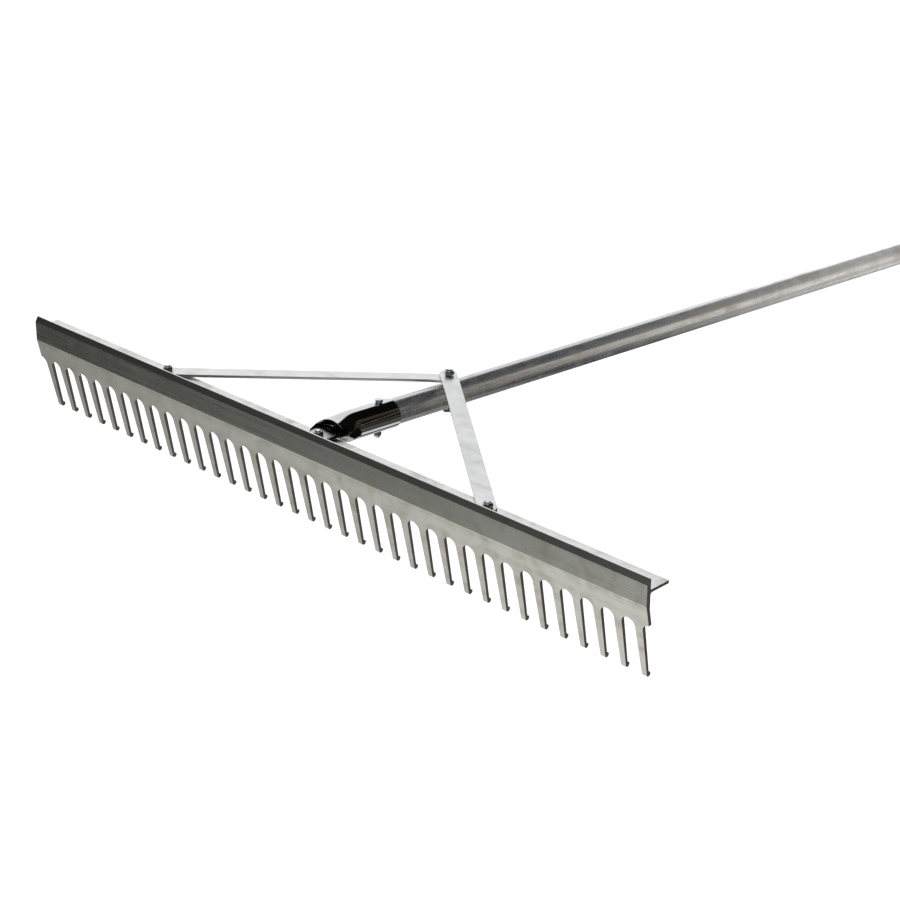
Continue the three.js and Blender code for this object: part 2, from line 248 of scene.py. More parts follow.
def build(name, shell, place, nodes, material, sharp=35, round_edges=0.0):
    """One finished piece from a shell. place is where the shell's own frame lies in the head's."""
    mesh = bpy.data.meshes.new(name)
    mesh.from_pydata([(ROW @ place @ p)[:] for p in shell.points], [], shell.faces)
    bm = bmesh.new()
    bm.from_mesh(mesh)
    bmesh.ops.remove_doubles(bm, verts=bm.verts, dist=0.004 * MM)
    bmesh.ops.dissolve_degenerate(bm, edges=bm.edges, dist=0.002 * MM)
    bmesh.ops.recalc_face_normals(bm, faces=bm.faces)
    bm.to_mesh(mesh)
    bm.free()
    mesh.shade_smooth()
    mesh.set_sharp_from_angle(angle=math.radians(sharp))
    mesh.materials.append(material)
    piece = bpy.data.objects.new(name, mesh)
    bpy.context.scene.collection.objects.link(piece)
    if round_edges:
        bevel = piece.modifiers.new("edges", "BEVEL")
        bevel.width = round_edges * MM
        bevel.segments = 2
        bevel.limit_method = "ANGLE"
        bevel.angle_limit = math.radians(40)
        bevel.use_clamp_overlap = True
        bevel.harden_normals = True
    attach(piece, "root")
    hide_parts(*nodes)
    return piece


# ---- head ----


def quarter_turns():
    """The angles of a quarter circle's points."""
    return [math.radians(ARC_STEP * i) for i in range(round(90 / ARC_STEP) + 1)]


def head_rows():
    """The section's outer loop as (y, z) from the crease up the front, over the lip and down the back."""
    back = BAND_THICKNESS
    points = [(0.0, -CREASE_DEPTH), (0.0, BAND_MIDDLE), (0.0, BEVEL_BOTTOM)]
    points += [(back - LIP_THICKNESS, LIP_HEIGHT), (back, LIP_HEIGHT), (back, BEVEL_BOTTOM)]
    for turn in quarter_turns():
        points.append((
            back + FILLET_ABOVE - FILLET_ABOVE * math.cos(turn),
            FILLET_ABOVE - FILLET_ABOVE * math.sin(turn),
        ))
    points += [(FLANGE_MIDDLE, 0.0), (FLANGE_REACH, 0.0)]
    points += [(FLANGE_REACH, -FLANGE_THICKNESS), (FLANGE_MIDDLE, -FLANGE_THICKNESS)]
    for turn in quarter_turns():
        points.append((
            back + FILLET_BELOW - FILLET_BELOW * math.sin(turn),
            -FLANGE_THICKNESS - FILLET_BELOW + FILLET_BELOW * math.cos(turn),
        ))
    points.append((back, -REAR_CREASE_DEPTH))
    return points


def plate_depth(run):
    """How thick the leaning plate is at a run, above the foot."""
    heel_run = FOOT_RUN - math.sqrt(FOOT_RADIUS**2 - (TOOTH_THICKNESS - FOOT_RADIUS) ** 2)
    return lerp(PLATE_TOP_DEPTH, TOOTH_THICKNESS, (run - PLATE_TOP_RUN) / (heel_run - PLATE_TOP_RUN))


def tooth_rows():
    """For each row down a tooth: (front run, front depth, back run, back depth, half the gap beside it)."""
    tip_run = FOOT_RUN + 2 * FOOT_RADIUS

    def half_gap(run):
        return lerp(ARCH_RADIUS, TIP_GAP, (run - ARCH_RUN) / (tip_run - ARCH_RUN))

    rows = []
    for turn in quarter_turns():
        run = ARCH_RUN - ARCH_RADIUS * math.cos(turn)
        rows.append((run, 0.0, run, plate_depth(run), ARCH_RADIUS * math.sin(turn)))

    heel = math.acos((TOOTH_THICKNESS - FOOT_RADIUS) / FOOT_RADIUS)
    heel_run = FOOT_RUN - FOOT_RADIUS * math.sin(heel)
    straight_steps = 6
    for i in range(1, straight_steps + 1):
        t = i / straight_steps
        run = lerp(ARCH_RUN, FOOT_RUN, t)
        back = lerp(ARCH_RUN, heel_run, t)
        rows.append((run, 0.0, back, plate_depth(back), half_gap(run)))
    for i in range(1, FOOT_STEPS + 1):
        front = math.pi + math.pi / 2 * i / FOOT_STEPS
        back = lerp(-heel, math.pi / 2, i / FOOT_STEPS)
        front_run = FOOT_RUN - FOOT_RADIUS * math.sin(front)
        back_run = FOOT_RUN + FOOT_RADIUS * math.sin(back)
        rows.append((
            front_run, FOOT_RADIUS + FOOT_RADIUS * math.cos(front),
            back_run, FOOT_RADIUS + FOOT_RADIUS * math.cos(back),
            half_gap(max(front_run, back_run)),
        ))
    return rows


def rake_head():
    """The upper section drawn along X, and each tooth lofted down from it."""
    shell = Shell()
    across = (-1.0, -0.55, 0.0, 0.55, 1.0)
    rows = tooth_rows()
    start = rows[0][0]
    upper = [plate_point(start, 0), plate_point(PLATE_FRONT_ROW, 0), *head_rows()]
    upper += [plate_point(run, plate_depth(run)) for run in (PLATE_BACK_ROW, start)]

    stations = []
    for tooth in range(TEETH):
        centre = (tooth + 0.5) * PITCH - HEAD_END
        stations += [centre + u * PITCH / 2 for u in across[:-1]]
    stations.append(HEAD_END)
    rings = [shell.ring([(x, y, z) for y, z in upper]) for x in stations]
    shell.loft(rings, closed=False)
    shell.faces.append(tuple(rings[0]))
    shell.faces.append(tuple(rings[-1]))

    for tooth in range(TEETH):
        centre = (tooth + 0.5) * PITCH - HEAD_END
        previous = None
        for front_run, front_depth, back_run, back_depth, gap in rows:
            half = PITCH / 2 - gap
            front_y, front_z = plate_point(front_run, front_depth)
            back_y, back_z = plate_point(back_run, back_depth)
            loop = [(centre + u * half, front_y, front_z) for u in across]
            loop += [(centre + u * half, back_y, back_z) for u in reversed(across)]
            ring = shell.ring(loop)
            if previous:
                shell.bridge(previous, ring)
            previous = ring
    return shell


# ---- ferrule ----


def socket_section(y):
    """The shape of the ferrule's section at y: a circle behind, a flat-floored arch at the mouth."""
    flat = progress(y, MORPH_START, MOUTH)
    drop = progress(y, FLOOR_START, FLOOR_END)
    taper = progress(y, MOUTH, SHOULDER)
    axis = axis_height(y)
    return dict(
        half=lerp(lerp(SOCKET_RADIUS, MOUTH_HALF_WIDTH, flat), SHOULDER_HALF_WIDTH, taper),
        top=lerp(axis + SOCKET_RADIUS, MOUTH_TOP, flat),
        side=lerp(axis, MOUTH_SIDE, flat),
        bottom=lerp(axis - SOCKET_RADIUS, GAP, drop),
        arch=lerp(1, ARCH_POWER, flat),
        floor=lerp(1, FLOOR_POWER, drop),
    )


def socket_point(section, turn):
    """A point of the section; turn 0 is the middle of the floor and it grows towards +X."""
    x = section["half"] * math.sin(turn)
    up = -math.cos(turn)
    if up > 0:
        return x, section["side"] + up ** section["arch"] * (section["top"] - section["side"])
    return x, section["side"] - (-up) ** section["floor"] * (section["side"] - section["bottom"])


def cheek_turn(y):
    """How far round the section the open front reaches at y, from the middle of the floor."""
    section = socket_section(y)
    height = lerp(CHEEK_FRONT_HEIGHT, CHEEK_HEIGHT, (y - SHOULDER) / (RIM - SHOULDER))
    height += CHEEK_RISE * smooth((y - CHEEK_RISE_START) / CHEEK_RISE_RUN)
    if height <= section["side"]:
        share = (section["side"] - height) / (section["side"] - section["bottom"])
        return math.acos(min(1.0, share) ** (1 / section["floor"]))
    share = (height - section["side"]) / (section["top"] - section["side"])
    return math.pi - math.acos(min(1.0, share ** (1 / section["arch"])))


def ferrule():
    """The ferrule's outer sheet: closed rings from the rear to the mouth's rim, then an open floor and a tab."""
    shell = Shell()
    open_turn = cheek_turn(RIM)
    turns = [lerp(-open_turn, open_turn, i / LOW_STEPS) for i in range(LOW_STEPS + 1)]
    turns += [lerp(open_turn, 2 * math.pi - open_turn, i / HIGH_STEPS) for i in range(1, HIGH_STEPS)]

    rings = []
    for y in [RIM + 28 * i / 26 for i in range(27)] + [75, 82, 90, 98, 106, 114, SOCKET_REAR]:
        section = socket_section(y)
        points = [socket_point(section, turn) for turn in turns]
        rings.append(shell.ring([(x, y, z) for x, z in points]))
    shell.loft(rings)

    # even steps along the floor, then steps of equal angle round the tab's end
    front = [RIM - 1.5 * i for i in range(1, 15)]
    round_end = [TAB_CENTRE - TAB_HALF_WIDTH * math.sin(math.radians(5 + 5 * i)) for i in range(1, 18)]
    front += [y for y in round_end if y < front[-1] - 0.4]
    previous = rings[0][: LOW_STEPS + 1]
    for y in front:
        section = socket_section(max(y, SHOULDER - 3))
        reach = cheek_turn(max(y, SHOULDER - 3))
        into_tab = smooth((24 - y) / 9)
        inside = max(0.0, TAB_CENTRE - y)
        tab_half = math.sqrt(max(0.0, TAB_HALF_WIDTH**2 - inside**2))
        points = []
        for i in range(LOW_STEPS + 1):
            t = -1 + 2 * i / LOW_STEPS
            x, z = socket_point(section, t * reach)
            tab_x = tab_half * math.sin(t * math.pi / 2)
            points.append((lerp(x, tab_x, into_tab), y, lerp(z, GAP, into_tab)))
        row = shell.ring(points)
        shell.bridge(previous, row, closed=False)
        previous = row
    return shell


def thicken(sheet, thickness):
    """A closed shell from an open one: each point gets a twin a thickness further in along its normal."""
    mesh = bpy.data.meshes.new("sheet")
    mesh.from_pydata([p[:] for p in sheet.points], [], sheet.faces)
    bm = bmesh.new()
    bm.from_mesh(mesh)
    bpy.data.meshes.remove(mesh)
    bmesh.ops.remove_doubles(bm, verts=bm.verts, dist=0.01)
    bmesh.ops.recalc_face_normals(bm, faces=bm.faces)
    bm.normal_update()
    bm.verts.ensure_lookup_table()
    rear = max(bm.verts, key=lambda v: v.co.y)
    inward = -1 if rear.normal.dot(rear.co - Vector((0, rear.co.y, axis_height(rear.co.y)))) > 0 else 1
    shell = Shell()
    for vertex in bm.verts:
        shell.add(vertex.co)
    count = len(shell.points)
    for vertex in bm.verts:
        shell.add(vertex.co + vertex.normal * inward * thickness)
    bm.verts.index_update()
    for face in bm.faces:
        loop = [v.index for v in face.verts]
        shell.faces.append(tuple(loop))
        shell.faces.append(tuple(count + i for i in reversed(loop)))
    for edge in bm.edges:
        if edge.is_boundary:
            a, b = (v.index for v in edge.verts)
            shell.faces.append((a, b, count + b, count + a))
    bm.free()
    return shell


# ---- handle ----


def circle(radius, y, count):
    """A ring about Y."""
    turns = [2 * math.pi * i / count for i in range(count)]
    return [(radius * math.cos(turn), y, radius * math.sin(turn)) for turn in turns]


def lathe(profile, count):
    """A solid of revolution about Y from (radius, y) points: a loop, or a line with radius 0 at both ends."""
    shell = Shell()
    rings = [shell.ring(circle(r, y, count)) for r, y in profile if r > 0]
    shell.loft(rings)
    if profile[0][0] > 0:
        shell.bridge(rings[-1], rings[0])
    else:
        shell.cap(rings[0], (0, profile[0][1], 0))
        shell.cap(rings[-1], (0, profile[-1][1], 0))
    return shell


def handle_tube():
    inner = TUBE_RADIUS - TUBE_WALL
    steps = 40
    profile = [(TUBE_RADIUS, lerp(TUBE_START, TUBE_END, i / steps)) for i in range(steps + 1)]
    profile += [(inner, lerp(TUBE_END, TUBE_START, i / steps)) for i in range(steps + 1)]
    return lathe(profile, 72)


def end_cap():
    """A cap with a dished end, and a ribbed plug inside the tube."""
    plug = TUBE_RADIUS - TUBE_WALL - GAP
    start = TUBE_END - PLUG_LENGTH
    end = TUBE_END + CAP_THICKNESS
    profile = [(0, start), (plug - PLUG_TAPER, start), (plug, start + 1.5)]
    for rib in range(RIB_COUNT):
        y = start + 6 + RIB_PITCH * rib
        profile += [(plug - RIB_DEPTH, y - 1.2), (plug, y), (plug, y + 0.6), (plug - RIB_DEPTH, y + 1.8)]
    profile += [(plug, TUBE_END + GAP), (TUBE_RADIUS - 0.4, TUBE_END + GAP), (TUBE_RADIUS, TUBE_END + GAP + 0.4)]
    for i in range(6):
        turn = math.radians(90 * i / 5)
        radius = TUBE_RADIUS - CAP_ROUND + CAP_ROUND * math.cos(turn)
        profile.append((radius, end - CAP_ROUND + CAP_ROUND * math.sin(turn)))
    profile += [(CAP_DISH_RADIUS, end), (CAP_DISH_RADIUS - 0.6, end - CAP_DISH_DEPTH), (0, end - CAP_DISH_DEPTH)]
    return lathe(profile, 64)


# ---- straps ----


def strap(side, lift, overrun):
    """A flat bar with rounded ends and a hole at each, bent up from the flange to the top of the tube."""
    foot = Vector((side * STRAP_HOLE_X, STRAP_HOLE_Y, 0))
    top = HANDLE @ Vector((0, HANDLE_BOLT, TUBE_RADIUS + lift))
    top.z = 0
    length = (top - foot).length
    angle = math.atan2(top.y - foot.y, top.x - foot.x)
    first_bend = STRAP_FOOT
    last_bend = length - STRAP_HEAD
    hole = SIX["shank"] + GAP + EDGE
    radius = STRAP_WIDTH / 2 - EDGE

    # the bar lies flat along X at first, with the foot's hole at its origin
    loops = [[]]
    for centre, start in ((0.0, math.pi / 2), (length + overrun, -math.pi / 2)):
        for i in range(25):
            turn = start + math.pi * i / 24
            loops[0].append((centre + radius * math.cos(turn), radius * math.sin(turn)))
    for centre in (0.0, length):
        turns = [2 * math.pi * i / 32 for i in range(32)]
        loops.append([(centre + hole * math.cos(turn), hole * math.sin(turn)) for turn in turns])
    curve = bpy.data.curves.new("outline", "CURVE")
    curve.dimensions = "2D"
    curve.fill_mode = "BOTH"
    for loop in loops:
        spline = curve.splines.new("POLY")
        spline.points.add(len(loop) - 1)
        for point, (x, y) in zip(spline.points, loop):
            point.co = (x, y, 0, 1)
        spline.use_cyclic_u = True
    curve.extrude = STRAP_THICKNESS / 2 - EDGE
    curve.bevel_depth = EDGE
    curve.bevel_resolution = 2
    helper = bpy.data.objects.new("outline", curve)
    bpy.context.scene.collection.objects.link(helper)
    mesh = bpy.data.meshes.new_from_object(helper)
    bpy.data.objects.remove(helper)

    # cut it across where it bends, then lift every vertex
    bm = bmesh.new()
    bm.from_mesh(mesh)
    bmesh.ops.remove_doubles(bm, verts=bm.verts, dist=0.01)
    cuts = [bend + 1.5 * k for bend in (first_bend, last_bend) for k in range(-4, 5)]
    cuts += [lerp(first_bend, last_bend, k / 12) for k in range(1, 12)]
    for run in sorted(cuts):
        everything = bm.verts[:] + bm.edges[:] + bm.faces[:]
        bmesh.ops.bisect_plane(bm, geom=everything, plane_co=(run, 0, 0), plane_no=(1, 0, 0), dist=1e-4)
    shell = Shell()
    for vertex in bm.verts:
        run, across, height = vertex.co
        climb = soft_ramp((run - first_bend) / (last_bend - first_bend), 6 / (last_bend - first_bend))
        y = foot.y + max(run, last_bend) * math.sin(angle) + across * math.cos(angle)
        on_handle = axis_height(y) + (TUBE_RADIUS + lift) / math.cos(FALL)
        under = lerp(GAP, on_handle, climb)
        shell.add((run, across, height + STRAP_THICKNESS / 2 + under))
    bm.verts.index_update()
    shell.faces = [tuple(v.index for v in face.verts) for face in bm.faces]
    bm.free()
    bpy.data.meshes.remove(mesh)
    return shell, Matrix.Translation(foot) @ Matrix.Rotation(angle, 4, "Z")


def soft_ramp(t, corner):
    """0 below 0 and 1 above 1, with both corners rounded over a share of the run."""

    def bend(u):
        if u <= -corner:
            return 0.0
        if u >= corner:
            return u
        return (u + corner) ** 2 / (4 * corner)

    return bend(t) - bend(t - 1)


# ---- fasteners, along Z with the underside of the hex at z = 0 ----


def hexagon(flats, z, chamfer=0.0):
    """A ring round a hexagon. chamfer lowers its corners as a cone does, or raises them if it is below 0."""
    ring = []
    for i in range(SIDES):
        turn = 2 * math.pi * i / SIDES
        sector = (turn + math.pi / 6) % (math.pi / 3) - math.pi / 6
        radius = flats / 2 / math.cos(sector)
        drop = max(0.0, radius - FLAT_SHARE * flats / 2) * math.tan(CHAMFER) * chamfer
        ring.append((radius * math.cos(turn), radius * math.sin(turn), z - drop))
    return ring


def round_ring(radius, z):
    """A ring about Z, with as many points as a hexagon's."""
    turns = [2 * math.pi * i / SIDES for i in range(SIDES)]
    return [(radius * math.cos(turn), radius * math.sin(turn), z) for turn in turns]


def bolt(size, grip):
    """A hex head with a chamfered top and a shank whose end is threaded and pointed."""
    shell = Shell()
    flats, shank = size["flats"], size["shank"]
    head_top = -size["head"]
    bearing = -0.35
    rings = [
        round_ring(0.62 * flats / 2, head_top),
        round_ring(FLAT_SHARE * flats / 2, head_top),
        hexagon(flats, head_top, -1.0),
        hexagon(flats, bearing),
        round_ring(0.97 * flats / 2, bearing),
        round_ring(0.94 * flats / 2, 0),
    ]
    end = grip + 2 * GAP + size["nut"] + size["reach"]
    pitch = 1.0 if shank > 2.7 else 0.8
    thread = 18.0 if grip > 20 else grip + 4.0
    plain = max(0.8, end - thread)
    rings += [round_ring(shank + 0.4, 0.0), round_ring(shank, 0.4), round_ring(shank, plain)]
    thread_end = end - 0.5
    steps = int((thread_end - plain) / pitch * 8)
    for k in range(1, steps + 1):
        z = plain + (thread_end - plain) * k / steps
        fade = min(1.0, (z - plain) / pitch)
        ring = []
        for i in range(SIDES):
            turn = 2 * math.pi * i / SIDES
            wave = abs(((z / pitch - i / SIDES) % 1.0) * 2 - 1)
            radius = shank - THREAD_FIT - 0.33 * pitch * fade * (1 - wave)
            ring.append((radius * math.cos(turn), radius * math.sin(turn), z))
        rings.append(ring)
    rings.append(round_ring(shank - 0.75, end))
    made = [shell.ring(ring) for ring in rings]
    shell.loft(made)
    shell.cap(made[0], (0, 0, head_top + 0.25))
    shell.cap(made[-1], (0, 0, end))
    return shell


def nut_bottom(flats, bore):
    """The rings of a nut's underside, from just inside its bore to its lower chamfer."""
    return [
        round_ring(bore, 0.35),
        round_ring(bore + 0.35, 0),
        round_ring(FLAT_SHARE * flats / 2, 0),
        hexagon(flats, 0, -1.0),
    ]


def lock_nut(size):
    """A hexagon with a rolled collar that holds a nylon ring."""
    shell = Shell()
    flats = size["flats"]
    bore = size["shank"] + THREAD_FIT
    collar = 0.45 * flats
    roll = 0.55
    top = size["nut"] + size["crown"]
    rings = nut_bottom(flats, bore)
    rings += [hexagon(flats, size["nut"], 1.3), round_ring(collar + 0.1, size["nut"] + 0.1)]
    for i in range(7):
        turn = math.radians(-10 + 170 * i / 6)
        rings.append(round_ring(collar - roll + roll * math.cos(turn), top - roll + roll * math.sin(turn)))
    rings += [round_ring(collar - 1.1, top - 0.9), round_ring(bore + 0.15, top - 0.9), round_ring(bore, top - 1.2)]
    made = [shell.ring(ring) for ring in rings]
    shell.loft(made)
    shell.bridge(made[-1], made[0])
    return shell


def cap_nut(size):
    """A hexagon closed by a dome."""
    shell = Shell()
    flats = size["flats"]
    bore = size["shank"] + THREAD_FIT
    bore_end = size["nut"] + size["reach"] + 0.4
    dome = 0.46 * flats
    rings = [round_ring(bore, bore_end), *nut_bottom(flats, bore)]
    rings += [hexagon(flats, size["nut"], 1.3), round_ring(dome + 0.05, size["nut"] + 0.05)]
    for i in range(1, 12):
        turn = math.radians(90 * i / 12)
        rings.append(round_ring(dome * math.cos(turn) ** 0.8, size["nut"] + size["crown"] * math.sin(turn)))
    made = [shell.ring(ring) for ring in rings]
    shell.loft(made)
    shell.cap(made[0], (0, 0, bore_end))
    shell.cap(made[-1], (0, 0, size["nut"] + size["crown"]))
    return shell


def washer():
    """A flat ring with rounded edges."""
    shell = Shell()
    inner, outer = SIX["shank"] + GAP, WASHER_RADIUS
    edge, top = WASHER_EDGE, WASHER_THICKNESS
    profile = [
        (inner, edge), (inner + edge, 0), (outer - edge, 0), (outer, edge),
        (outer, top - edge), (outer - edge, top), (inner + edge, top), (inner, top - edge),
    ]
    turns = [2 * math.pi * i / 64 for i in range(64)]
    rings = [shell.ring([(r * math.cos(turn), r * math.sin(turn), z) for turn in turns]) for r, z in profile]
    shell.loft(rings)
    shell.bridge(rings[-1], rings[0])
    return shell


# ---- materials ----


class Nodes:
    """Short names for making a material's node tree. Positions are object coordinates, in metres."""

    def __init__(self, name):
        self.material = bpy.data.materials.new(name)
        self.material.use_nodes = True
        self.tree = self.material.node_tree
        self.shader = self.tree.nodes["Principled BSDF"]
        self.position = self.tree.nodes.new("ShaderNodeTexCoord").outputs["Object"]

    def link(self, value, socket):
        if isinstance(value, bpy.types.NodeSocket):
            self.tree.links.new(value, socket)
        else:
            socket.default_value = value

    def scaled(self, scale, turn):
        """The position after a turn and a scale, so that noise can run along a piece."""
        node = self.tree.nodes.new("ShaderNodeMapping")
        node.inputs["Scale"].default_value = scale
        node.inputs["Rotation"].default_value = turn
        self.link(self.position, node.inputs["Vector"])
        return node.outputs["Vector"]

    def noise(self, scale, detail=3.0, rough=0.55, turn=(0, 0, 0), distortion=0.0):
        node = self.tree.nodes.new("ShaderNodeTexNoise")
        node.inputs["Scale"].default_value = 1.0
        node.inputs["Detail"].default_value = detail
        node.inputs["Roughness"].default_value = rough
        node.inputs["Distortion"].default_value = distortion
        self.link(self.scaled(scale, turn), node.inputs["Vector"])
        return node.outputs["Fac"]

    def ramp(self, value, low, high, out_low=0.0, out_high=1.0):
        """A soft step from one value to another."""
        node = self.tree.nodes.new("ShaderNodeMapRange")
        node.interpolation_type = "SMOOTHSTEP"
        for socket, given in zip(("From Min", "From Max", "To Min", "To Max"), (low, high, out_low, out_high)):
            node.inputs[socket].default_value = given
        self.link(value, node.inputs["Value"])
        return node.outputs["Result"]

    def math(self, kind, a, b=0.0):
        node = self.tree.nodes.new("ShaderNodeMath")
        node.operation = kind
        self.link(a, node.inputs[0])
        self.link(b, node.inputs[1])
        return node.outputs["Value"]

    def mix(self, share, a, b):
        node = self.tree.nodes.new("ShaderNodeMix")
        node.data_type = "RGBA"
        self.link(share, node.inputs["Factor"])
        self.link(a, node.inputs[6])
        self.link(b, node.inputs[7])
        return node.outputs[2]

    def bump(self, height, strength, distance):
        node = self.tree.nodes.new("ShaderNodeBump")
        node.inputs["Strength"].default_value = strength
        node.inputs["Distance"].default_value = distance
        self.link(height, node.inputs["Height"])
        return node.outputs["Normal"]

    def finish(self, color, roughness, normal=None, metallic=1.0):
        self.link(color, self.shader.inputs["Base Color"])
        self.link(roughness, self.shader.inputs["Roughness"])
        self.shader.inputs["Metallic"].default_value = metallic
        if normal is not None:
            self.link(normal, self.shader.inputs["Normal"])
        return self.material


def extruded_aluminium(name, color, stain, line_scale, turn, roughness, streak=0.5, scuff=0.35):
    """Mill-finish metal: fine lines along the way it was drawn, cloudy stains, scuffs and small pits."""
    n = Nodes(name)
    lines = n.noise(line_scale, detail=5, rough=0.65, turn=turn)
    broad = n.noise(tuple(s * 0.13 for s in line_scale), detail=3, turn=turn)
    clouds = n.noise((38, 38, 38), detail=4, rough=0.6, distortion=0.4)
    specks = n.noise((620, 620, 620), detail=2)
    scuffs = n.noise((90, 240, 240), detail=6, rough=0.7, turn=(0.3, 0.5, 0.9), distortion=1.2)
    dirt = n.ramp(n.math("ADD", n.math("MULTIPLY", clouds, 0.7), n.math("MULTIPLY", broad, 0.3)), 0.38, 0.72)
    tone = n.mix(dirt, color, stain)
    dark = tuple(c * 0.72 for c in color[:3]) + (1,)
    tone = n.mix(n.ramp(lines, 0.55, 0.80, 0.0, streak), tone, dark)
    bright = tuple(min(1, c * 1.12) for c in color[:3]) + (1,)
    tone = n.mix(n.ramp(scuffs, 0.66, 0.74, 0.0, scuff), tone, bright)
    rough = n.ramp(lines, 0.3, 0.7, roughness - 0.06, roughness + 0.05)
    rough = n.math("ADD", rough, n.ramp(dirt, 0, 1, -0.02, 0.08))
    rough = n.math("ADD", rough, n.ramp(specks, 0.6, 0.8, 0.0, 0.08))
    relief = n.math("ADD", n.math("MULTIPLY", lines, 1.0), n.math("MULTIPLY", specks, 0.35))
    normal = n.bump(relief, 0.16, 0.00012)
    return n.finish(tone, rough, normal)


def chrome_plate():
    """Bright plate over drawn steel: nearly a mirror, with faint waves, haze and a warm cast in places, and a
    painted dark reflection on the cheeks ahead of the mouth.
    """
    n = Nodes("chrome_plate")
    haze = n.noise((60, 25, 60), detail=4, distortion=0.6)
    fine = n.noise((900, 60, 900), detail=4, rough=0.7)
    warm = n.noise((70, 14, 70), detail=2)
    tone = n.mix(n.ramp(warm, 0.45, 0.7), (0.74, 0.75, 0.76, 1), (0.66, 0.62, 0.56, 1))
    tone = n.mix(n.ramp(haze, 0.5, 0.8, 0, 0.35), tone, (0.52, 0.52, 0.53, 1))
    split = n.tree.nodes.new("ShaderNodeSeparateXYZ")
    n.link(n.position, split.inputs[0])
    mouth = (ROW @ Vector((0, MOUTH, 0))).y
    # painted dark reflection: ahead of the mouth and outside its floor, the cheeks get a near-black colour that
    # stands in for the dark surroundings they reflect
    ahead = n.ramp(split.outputs["Y"], mouth - 0.010, mouth + 0.010, 1.0, 0.0)
    inside = n.ramp(n.math("ABSOLUTE", split.outputs["X"]), 0.0125, 0.0145, 1.0, 0.0)
    painted_reflection_cheeks = n.math("MULTIPLY", ahead, n.math("SUBTRACT", 1.0, inside))
    tone = n.mix(painted_reflection_cheeks, tone, (0.10, 0.098, 0.095, 1))
    rough = n.math("ADD", n.ramp(haze, 0.4, 0.75, 0.04, 0.10), n.ramp(fine, 0.5, 0.8, 0.0, 0.05))
    ahead = n.ramp(split.outputs["Y"], mouth - 0.014, mouth - 0.001, 0.30, 0.0)
    rough = n.math("ADD", rough, n.math("MULTIPLY", ahead, inside))
    waves = n.noise((55, 9, 55), detail=1)
    normal = n.bump(n.math("ADD", n.math("MULTIPLY", waves, 6.0), fine), 0.12, 0.00012)
    return n.finish(tone, rough, normal)


def zinc_plate():
    """Bright zinc on machined steel: a faint green-blue cast, turned marks, dull patches in the hollows."""
    n = Nodes("zinc_plate")
    patches = n.noise((260, 260, 260), detail=3)
    marks = n.noise((1800, 1800, 300), detail=3, rough=0.7)
    tone = n.mix(n.ramp(patches, 0.4, 0.7), (0.78, 0.83, 0.82, 1), (0.62, 0.70, 0.69, 1))
    tone = n.mix(n.ramp(marks, 0.6, 0.8, 0, 0.4), tone, (0.50, 0.53, 0.50, 1))
    rough = n.math("ADD", n.ramp(patches, 0.35, 0.7, 0.12, 0.24), n.ramp(marks, 0.5, 0.8, 0, 0.12))
    normal = n.bump(marks, 0.2, 0.00008)
    return n.finish(tone, rough, normal)


def moulded_plastic():
    """Black plastic with a fine spark-eroded grain, rubbed smoother and greyer on its edges."""
    n = Nodes("moulded_plastic")
    grain = n.noise((2600, 2600, 2600), detail=3)
    rubbed = n.noise((160, 160, 160), detail=4, distortion=0.5)
    tone = n.mix(n.ramp(rubbed, 0.5, 0.75), (0.018, 0.018, 0.020, 1), (0.045, 0.044, 0.045, 1))
    rough = n.ramp(rubbed, 0.4, 0.75, 0.62, 0.42)
    return n.finish(tone, rough, n.bump(grain, 0.35, 0.00012), metallic=0.0)


# ---- the pieces ----

head_metal = extruded_aluminium(
    "head_extrusion", (0.82, 0.82, 0.785, 1), (0.62, 0.615, 0.545, 1), (5, 900, 900), (0, 0, 0), 0.29
)
left_metal = extruded_aluminium(
    "left_strap_bar", (0.84, 0.845, 0.81, 1), (0.80, 0.805, 0.77, 1), (7, 800, 800), (0, 0, -0.67), 0.34, 0.25
)
right_metal = extruded_aluminium(
    "right_strap_bar", (0.84, 0.845, 0.81, 1), (0.80, 0.805, 0.77, 1), (7, 800, 800), (0, 0, 0.67), 0.34, 0.25
)
tube_metal = extruded_aluminium(
    "drawn_tube", (0.66, 0.665, 0.68, 1), (0.60, 0.575, 0.54, 1), (850, 4, 850), (0, 0, 0), 0.25, 0.35, 0.1
)
chrome = chrome_plate()
zinc = zinc_plate()
plastic = moulded_plastic()

HERE = Matrix.Identity(4)
build(
    "rake_head_extrusion", rake_head(), HERE, ["rake_head"], head_metal,
    sharp=CREASE_ANGLE, round_edges=EDGE,
)
socket = thicken(ferrule(), SHEET)
build("socket_ferrule", socket, HERE, ["handle_ferrule"], chrome, sharp=50)
build("handle_tube_drawn", handle_tube(), HANDLE, ["handle_tube"], tube_metal, round_edges=0.2)
build("handle_cap", end_cap(), HANDLE, ["handle_end_cap"], plastic)

seat = WASHER_THICKNESS + 2 * GAP
step = STRAP_THICKNESS + GAP
for name, side, lift, overrun, metal in (
    ("left_strap", -1, seat, LEFT_OVERRUN, left_metal),
    ("right_strap", 1, seat + step, RIGHT_OVERRUN, right_metal),
):
    shell, place = strap(side, lift, overrun)
    build(name + "_bar", shell, place, [name], metal, sharp=25)


def fastening(name, size, grip, place, nut_shape):
    """A bolt and its nut. place is where the bolt's head bears, and grip how far off the nut bears."""
    build(name + "_hex_bolt", bolt(size, grip), place, [name + "_bolt"], zinc, sharp=28)
    up = place @ Matrix.Translation((0, 0, grip + 2 * GAP))
    build(name + "_hex_nut", nut_shape(size), up, [name + "_nut"], zinc, sharp=28)


flange_grip = FLANGE_THICKNESS + GAP
for name, x, y, sheet in (
    ("left_strap_foot", -STRAP_HOLE_X, STRAP_HOLE_Y, STRAP_THICKNESS),
    ("right_strap_foot", STRAP_HOLE_X, STRAP_HOLE_Y, STRAP_THICKNESS),
    ("ferrule_tab", 0.0, TAB_HOLE_Y, SHEET),
):
    fastening(name, SIX, flange_grip + sheet, Matrix.Translation((x, y, -flange_grip)), lock_nut)

